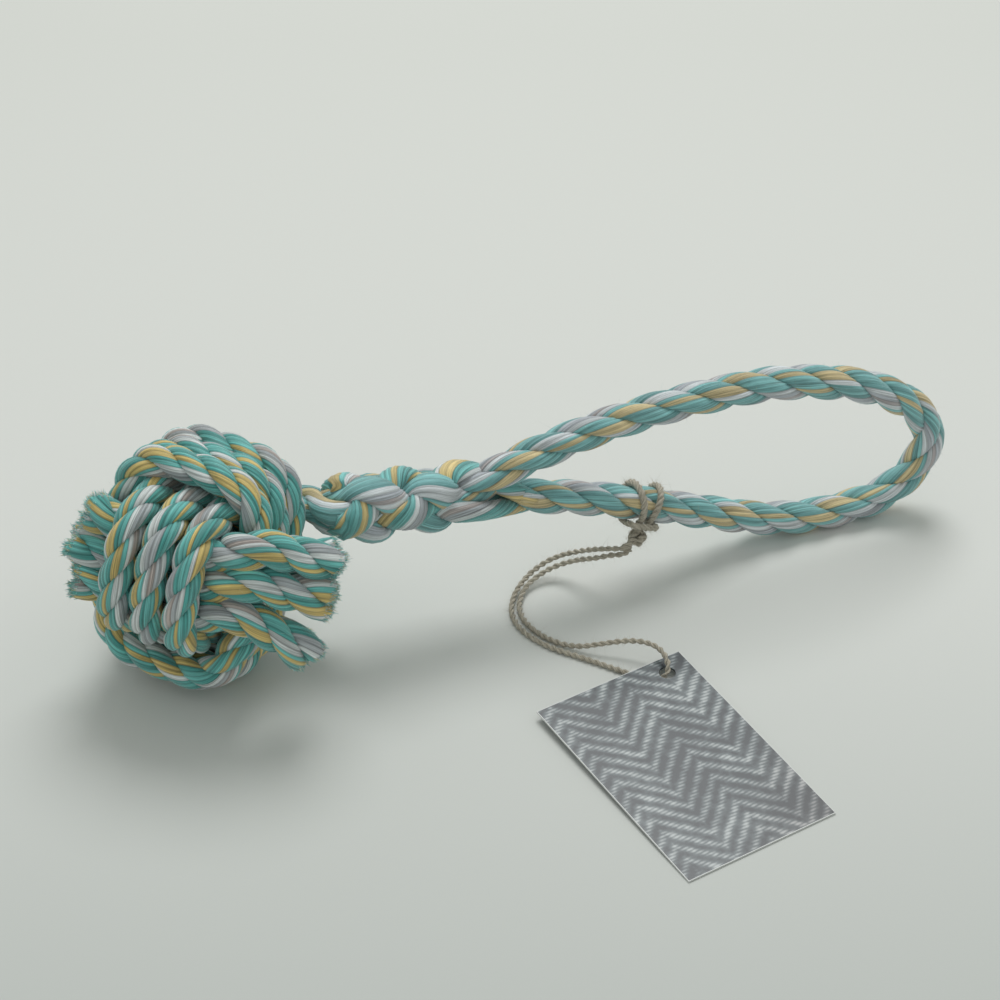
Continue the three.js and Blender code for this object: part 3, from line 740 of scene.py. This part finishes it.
# The route from the knot along the floor, under the tag, up through its hole and back
twineRoute = [
    (144.12, -11.46, 17.1), (141.4, -12.1, 17.3), (137.4, -9.6, 16.2), (133.4, -6.2, 14.4), (129.2, -2, 11.4),
    (124.6, 1.6, 8.2), (119.4, 2.9, 5.6), (113.6, 1.4, 3.7), (108.2, -2.2, 2.4), (104, -7, 1.5), (101.4, -13, 1.05),
    (101, -19, 1), (102.6, -25, 1), (105.4, -30.4, 1), (109, -35.2, 1), (113.4, -39.6, 1), (118.2, -44.4, 1),
    (123, -49.4, 1), (127.6, -54.2, 1), (131.6, -57.6, 1), (134.6, -59.2, 1.05), (136.9, -60, 1.5),
    (138.5, -59.7, 2.9), (139.3, -58.4, 4.6), (139.5, -55.6, 6.2), (138.4, -52, 7.1), (135.8, -48.6, 7.3),
    (132, -45.6, 6.8), (127.2, -43, 5.6), (122, -40.6, 4), (117, -38, 2.4), (112.4, -34.2, 1.3), (108.2, -29, 1),
    (105.4, -23.6, 1), (104, -18, 1.05), (104.4, -12.4, 1.1), (106.6, -7.4, 1.4), (110.2, -3.2, 2.2),
    (114.8, -0.8, 3.2), (119.4, 0, 4.6), (124, -1, 6.6), (128.6, -4, 9.4), (132.8, -7.8, 12), (137.4, -10.2, 13.8),
    (141.4, -11.6, 14.4), (144.15, -10.72, 14.76),
]
twinePath = splineThrough(np.array(twineRoute) * mm + shift)
twineSurface = onFloor(twineSurfaces(twinePath, (0, 0, 1)), twine["clearance"])
tagTwine = finished(joined("tag_twine_plies", twineSurface), juteTwine, ["tag_twine"], "handle")

# Hitch: a doubled turn round the loop's lower leg, as angles down from the front, shares
# of the turn's radius and places along the leg in twine diameters, then mirrored
hitch = dict(diameter=2.3 * mm, radius=6.7 * mm, bar=1.0, barAngle=-334, size=1.25, plies=3)
hitchShares = [
    (52, 1.25, 0.75), (34, 1.04, 0.75), (15, 1, 0.78), (-20, 1, 1.1), (-60, 1, 1.6), (-100, 1, 1.95), (-140, 1, 2),
    (-180, 1, 2.02), (-220, 1, 2.05), (-260, 1, 2.08), (-295, 1, 2.12), (-318, 1.1, 2.12), (-332, 1.3, 1.7),
]
legAlong = unit(handlePoint(0.6, 0.25) - handlePoint(0.4, 0.49))
legFront = np.array((0.0, -1.0, 0.0))
legDown = unit(np.cross(legFront, legAlong))
legDown = legDown * -np.sign(legDown[2])
legMiddle = handlePoint(0.5, 0.375) + shift


def roundLeg(angle, reach, along):
    turnedBy = np.radians(angle)
    return legMiddle + reach * (np.cos(turnedBy) * legFront + np.sin(turnedBy) * legDown) + along * legAlong


def halfHitch(side):
    return [roundLeg(angle, reach * hitch["radius"], side * along * hitch["diameter"])
            for angle, reach, along in hitchShares]


hitchBar = roundLeg(hitch["barAngle"], hitch["radius"] + hitch["bar"] * hitch["diameter"], 0)
hitchPath = splineThrough(halfHitch(-1) + [hitchBar] + halfHitch(1)[::-1], perSpan=10)
hitchSurfaces = twineSurfaces(hitchPath, legAlong, hitch["size"], hitch["plies"])
finished(joined("twine_hitch_plies", hitchSurfaces), juteTwine, ["twine_hitch"], "handle")

# Knot: the twine wound into one small ball, with a short cut end
knot = dict(
    angle=58, reach=1.25, away=3.0 * mm, wound=dict(radius=2.15 * mm, turns=3, leans=5, points=160),
    size=1.15, end=[(0, 0, 0), (-2, -1.4, 0.5), (-4.2, -2.4, 0.1), (-6.4, -3, -0.9)], endSize=1.1,
)
knotCentre = roundLeg(knot["angle"], knot["reach"] * hitch["radius"] + knot["away"], 0)
knotEnd = splineThrough(np.array(knot["end"]) * mm + knotCentre)
knotSurfaces = twineSurfaces(woundBall(**knot["wound"]) + knotCentre, (0, 0, 1), knot["size"])
knotSurfaces += twineSurfaces(knotEnd, (0, 0, 1), knot["endSize"])
finished(joined("twine_knot_turns", knotSurfaces), juteTwine, ["twine_knot"], "handle")
print(f"twine made, {travelled(twinePath)[-1] / mm:.0f} mm, hitch {travelled(hitchPath)[-1] / mm:.0f} mm")

# Tag: a printed card. Distances across and down the card are dot products with its own
# axes, from its hole. A triangle wave across folds rows of cords into a herringbone: a
# cord's light is the sine of down plus fold, and its strands are slanted sines. The print
# warms towards one corner, and past the middle plus or minus the halves is the pale edge.
tag = dict(
    across=(0.9744, 0.2250, 0), down=(0.2249, -0.9740, -0.0279), fold=13.5 * mm, pitch=6.4 * mm, strand=2.3 * mm,
    slant=0.8, wander=3 * mm, bend=dict(Scale=42.0, Detail=1.0), foldFrom=1,
    base=0.05, cordLight=0.34, strandLight=0.36, grain=dict(Scale=420.0, Detail=4.0), grainShare=0.9,
    patches=dict(Scale=48.0, Detail=2.0), patchShare=1.1,
    inks=[(0.02, (44, 52, 57)), (0.85, (180, 186, 186)), (0.4, (94, 104, 107))],
    warm=(206, 184, 182), warmer=(16, 14), coolUntil=0.62,
    middle=(-18.5 * mm, 35.9 * mm), halves=(27.3 * mm, 42.3 * mm), edge=(214, 216, 214),
    roughness=0.38, coat=0.25, coatRoughness=0.3,
)


def cardMaterial():
    finish = Finish("printed_card")
    place = finish.node("ShaderNodeTexCoord", None, None, 3)
    hole = tuple(joints["tag_turn"]["pos_m"])
    offset = finish.node("ShaderNodeVectorMath", dict(operation="SUBTRACT"), {0: place, 1: hole})
    x = finish.node("ShaderNodeVectorMath", dict(operation="DOT_PRODUCT"), {0: offset, 1: tag["across"]}, 1)
    y = finish.node("ShaderNodeVectorMath", dict(operation="DOT_PRODUCT"), {0: offset, 1: tag["down"]}, 1)
    bend, grain, patches = (
        finish.node("ShaderNodeTexNoise", None, dict(Vector=offset, **tag[kind]))
        for kind in ("bend", "grain", "patches"))
    fold = finish.node("ShaderNodeMath", dict(operation="PINGPONG"), {0: x + tag["foldFrom"], 1: tag["fold"]})
    row = y + fold + (bend - 0.5) * tag["wander"]
    slanted = y - fold + row * tag["slant"]
    cord = (row * (2 * np.pi / tag["pitch"])).wave() * 0.5 + 0.5
    strand = (slanted * (2 * np.pi / tag["strand"])).wave() * 0.5 + 0.5
    noise = (grain - 0.5) * tag["grainShare"] + (patches - 0.5) * tag["patchShare"]
    tone = (cord * (tag["cordLight"] + strand * tag["strandLight"]) + noise + tag["base"]).bounded(0, 1)
    cool = finish.node("ShaderNodeValToRGB", ramped(tag["inks"]), dict(Fac=tone))
    warmth = (x * tag["warmer"][0] + y * tag["warmer"][1] - tag["coolUntil"]).bounded(0, 1)
    warm = finish.blend(1.0, cool, (*linear(tag["warm"]), 1), "MULTIPLY")
    printed = finish.blend(warmth, cool, warm)
    beyond = [((along - middle).size() - half).greater(0) for along, middle, half in
              zip((x, y), tag["middle"], tag["halves"])]
    shown = finish.blend((beyond[0] + beyond[1]).bounded(0, 1), printed, (*linear(tag["edge"]), 1))
    return finish.surface(Base_Color=shown, Roughness=tag["roughness"], Coat_Weight=tag["coat"],
                          Coat_Roughness=tag["coatRoughness"])


card = frame["nodes"]["swing_tag"]
card.data.materials.clear()
card.data.materials.append(cardMaterial())
print("tag finished")

# Stray fibres: tapered threads of a few sides on the curve root + way t + curl t^2, each
# thread's own length and way chosen at random
fibre = dict(
    rings=5, sides=3, shortest=0.35, curl=0.75, rooted=0.3 * mm, lowest=0.1 * mm, taper=0.8,
    askew=(0.31, 0.52, 0.79), uvFrom=(0.3, 0.5), uvApart=9, plain=[(175, 200, 192)], wild=0.6,
)


def strayFibres(name, roots, ways, length, thickness, material, body, count, tones=None, wild=None):
    tones = np.array(tones or fibre["plain"])
    wild = wild or fibre["wild"]
    rings, sides = fibre["rings"], fibre["sides"]
    pick = rng.choice(len(roots), count, replace=len(roots) < count)
    root, way = roots[pick], unit(ways[pick] + rng.normal(0, wild, (count, 3)))
    size = length * rng.uniform(fibre["shortest"], 1.0, count)[:, None, None]
    curl = rng.normal(0, fibre["curl"] * wild, (count, 3))
    t = np.linspace(0, 1, rings)[None, :, None]
    line = root[:, None] + size * (way[:, None] * t + curl[:, None] * t * t) - way[:, None] * fibre["rooted"]
    line[..., 2] = np.maximum(line[..., 2], fibre["lowest"])
    a = unit(np.cross(way, fibre["askew"]))
    b = np.cross(way, a)
    around = 2 * np.pi * np.arange(sides) / sides
    ring = np.cos(around)[None, :, None] * a[:, None] + np.sin(around)[None, :, None] * b[:, None]
    width = thickness / 2 * (1 - fibre["taper"] * t)
    points = line[:, :, None] + width[..., None] * ring[:, None]
    thread, i, k = np.meshgrid(np.arange(count), np.arange(rings - 1), np.arange(sides), indexing="ij")
    first = (thread * rings + i) * sides
    here, after = first + k, first + (k + 1) % sides
    quads = np.stack([here, after, after + sides, here + sides], -1).reshape(-1, 4)
    apart = rng.uniform(0, fibre["uvApart"], (len(quads), 1)).repeat(4, 0)
    uv = np.tile(fibre["uvFrom"], (quads.size, 1)) + apart
    tone = linear(tones)[rng.integers(0, len(tones), count)].repeat(quads.size // count, 0)
    colour = np.concatenate([tone, np.ones((len(tone), 1))], 1)
    return finished(meshFrom(name, points.reshape(-1, 3), quads, None, uv, colour), material, [], body)


def surfaceOf(name):
    mesh = bpy.data.objects[name].data
    points = np.empty(len(mesh.vertices) * 3, np.float32)
    normals = np.empty(len(mesh.vertices) * 3, np.float32)
    mesh.vertices.foreach_get("co", points)
    mesh.vertex_normals.foreach_get("vector", normals)
    return points.reshape(-1, 3).astype(float), normals.reshape(-1, 3).astype(float)


# Fuzz of the twine, away from the tag's hole: lengths and counts
juteFuzz = dict(
    tag_twine_plies=(2.4 * mm, 900), twine_hitch_plies=(2.6 * mm, 1100), twine_knot_turns=(2.4 * mm, 600))
juteFibre = dict(thickness=0.08 * mm, clear=12 * mm)
for name, (length, count) in juteFuzz.items():
    points, normals = surfaceOf(name)
    apart = np.linalg.norm(points - joints["tag_turn"]["pos_m"], axis=1) > juteFibre["clear"]
    strayFibres(name[:name.rindex("_")] + "_fuzz", points[apart], normals[apart], length, juteFibre["thickness"],
                juteTwine, "handle", count)

# Fuzz of the rope: past the neck on the handle, and on the ball where a surface faces
# away from its centre, so that the cosine of the angle between them is above facing
ropeFuzz = dict(
    tones=[(120, 190, 182), (200, 208, 204), (206, 190, 140), (160, 176, 174)], thickness=0.055 * mm,
    onHandle=1500, handleLength=2.8 * mm, pastNeck=8 * mm, onWinding=420, onCrossRope=160, ballLength=2.6 * mm,
    facing=0.7,
)
points, normals = surfaceOf("handle_rope_strands")
pastNeck = points[:, 0] > neckJoint[0] + ropeFuzz["pastNeck"]
strayFibres("handle_rope_fuzz", points[pastNeck], normals[pastNeck], ropeFuzz["handleLength"], ropeFuzz["thickness"],
            mixedRope, "handle", ropeFuzz["onHandle"], ropeFuzz["tones"])
ballCentre = fromBall(np.zeros(3))
for name in [*windings, *crossRopes]:
    points, normals = surfaceOf(name + "_strands")
    fromCentre = points - ballCentre
    outside = np.sum(fromCentre * normals, axis=1) > ropeFuzz["facing"] * np.linalg.norm(fromCentre, axis=1)
    count = ropeFuzz["onWinding"] if name in windings else ropeFuzz["onCrossRope"]
    strayFibres(name + "_fuzz", points[outside], normals[outside], ropeFuzz["ballLength"], ropeFuzz["thickness"],
                mixedRope, "ball", count, ropeFuzz["tones"])

# Cut ends: a brush of fibres that lead on from the yarns and spread from the rope's middle
brush = dict(
    tones=[(124, 206, 198), (100, 184, 178), (214, 224, 222), (150, 206, 198), (190, 198, 200), (204, 200, 160)],
    depth=2.4 * mm, length=2.1 * mm, thickness=0.36 * mm, count=800, wild=0.2, spread=0.25, back=12, nudge=0.1 * mm,
)
for name, cross in crossRopes.items():
    points, _ = surfaceOf(name + "_strands")
    run = fromBall(splineThrough(np.array(cross["points"]) * rope["spacing"]))
    for label, end, inside in (("first", run[0], run[brush["back"]]), ("last", run[-1], run[-brush["back"]])):
        way = unit(end - inside)
        atEnd = points[(points - end) @ way > -brush["depth"]]
        atEnd = atEnd[np.linalg.norm(atEnd - end, axis=1) < rope["diameter"]]
        ways = way + unit(atEnd - end + brush["nudge"]) * brush["spread"]
        strayFibres(f"{name}_{label}_end", atEnd, ways, brush["length"], brush["thickness"], mixedRope,
                    "ball", brush["count"], brush["tones"], brush["wild"])
print("stray fibres made")

# Floor: one pale sheet with painted shade, a little darker towards the front, where less light
# falls, and towards the back, against the lamp's brighter pool there. Its tone follows the
# distance backwards, times the slope plus the share at the origin.
floor = dict(
    size=6.0, backwards=(0.32, 0.95, 0), slope=1.6, atOrigin=0.4,
    stops=[(0.1, (202, 206, 202)), (1, (210, 212, 207)), (0.42, (219, 221, 217))], roughness=0.9, shine=0.1,
)


def floorWithPaintedShade():
    finish = Finish("floor")
    place = finish.node("ShaderNodeTexCoord", None, None, 3)
    back = finish.node("ShaderNodeVectorMath", dict(operation="DOT_PRODUCT"), {0: place, 1: floor["backwards"]}, 1)
    # The ramp paints the floor's shade: darker at both ends of the distance backwards
    share = (back * floor["slope"] + floor["atOrigin"]).bounded(0, 1)
    colour = finish.node("ShaderNodeValToRGB", ramped(floor["stops"]), dict(Fac=share))
    return finish.surface(Base_Color=colour, Roughness=floor["roughness"], Specular_IOR_Level=floor["shine"])


half = floor["size"] / 2
sheet = meshFrom("floor", np.array([(-half, -half, 0), (half, -half, 0), (half, half, 0), (-half, half, 0)]),
                 np.array([[0, 1, 2, 3]]))
sheet.data.materials.append(floorWithPaintedShade())

# Light: a wide lamp high behind the toy, and an even pale surround
light = dict(lampPower=10.0, lampSize=0.8, lampPlace=(0.25, 0.62, 1.25), world=0.595, worldColour=(238, 241, 238))
lampData = bpy.data.lights.new("window", "AREA")
lampData.shape = "DISK"
lampData.size = light["lampSize"]
lampData.energy = light["lampPower"]
lampAt = np.array(light["lampPlace"])
away = unit(lampAt)
lampSide = unit(np.cross((0, 0, 1), away))
aimed("window", lampData, lampSide, np.cross(away, lampSide), away, lampAt)
world = bpy.data.worlds.new("surround")
bpy.context.scene.world = world
world.use_nodes = True
background = world.node_tree.nodes["Background"]
background.inputs["Color"].default_value = (*linear(light["worldColour"]), 1)
background.inputs["Strength"].default_value = light["world"]
bpy.context.scene.view_settings.view_transform = "Standard"
print("floor and light made")
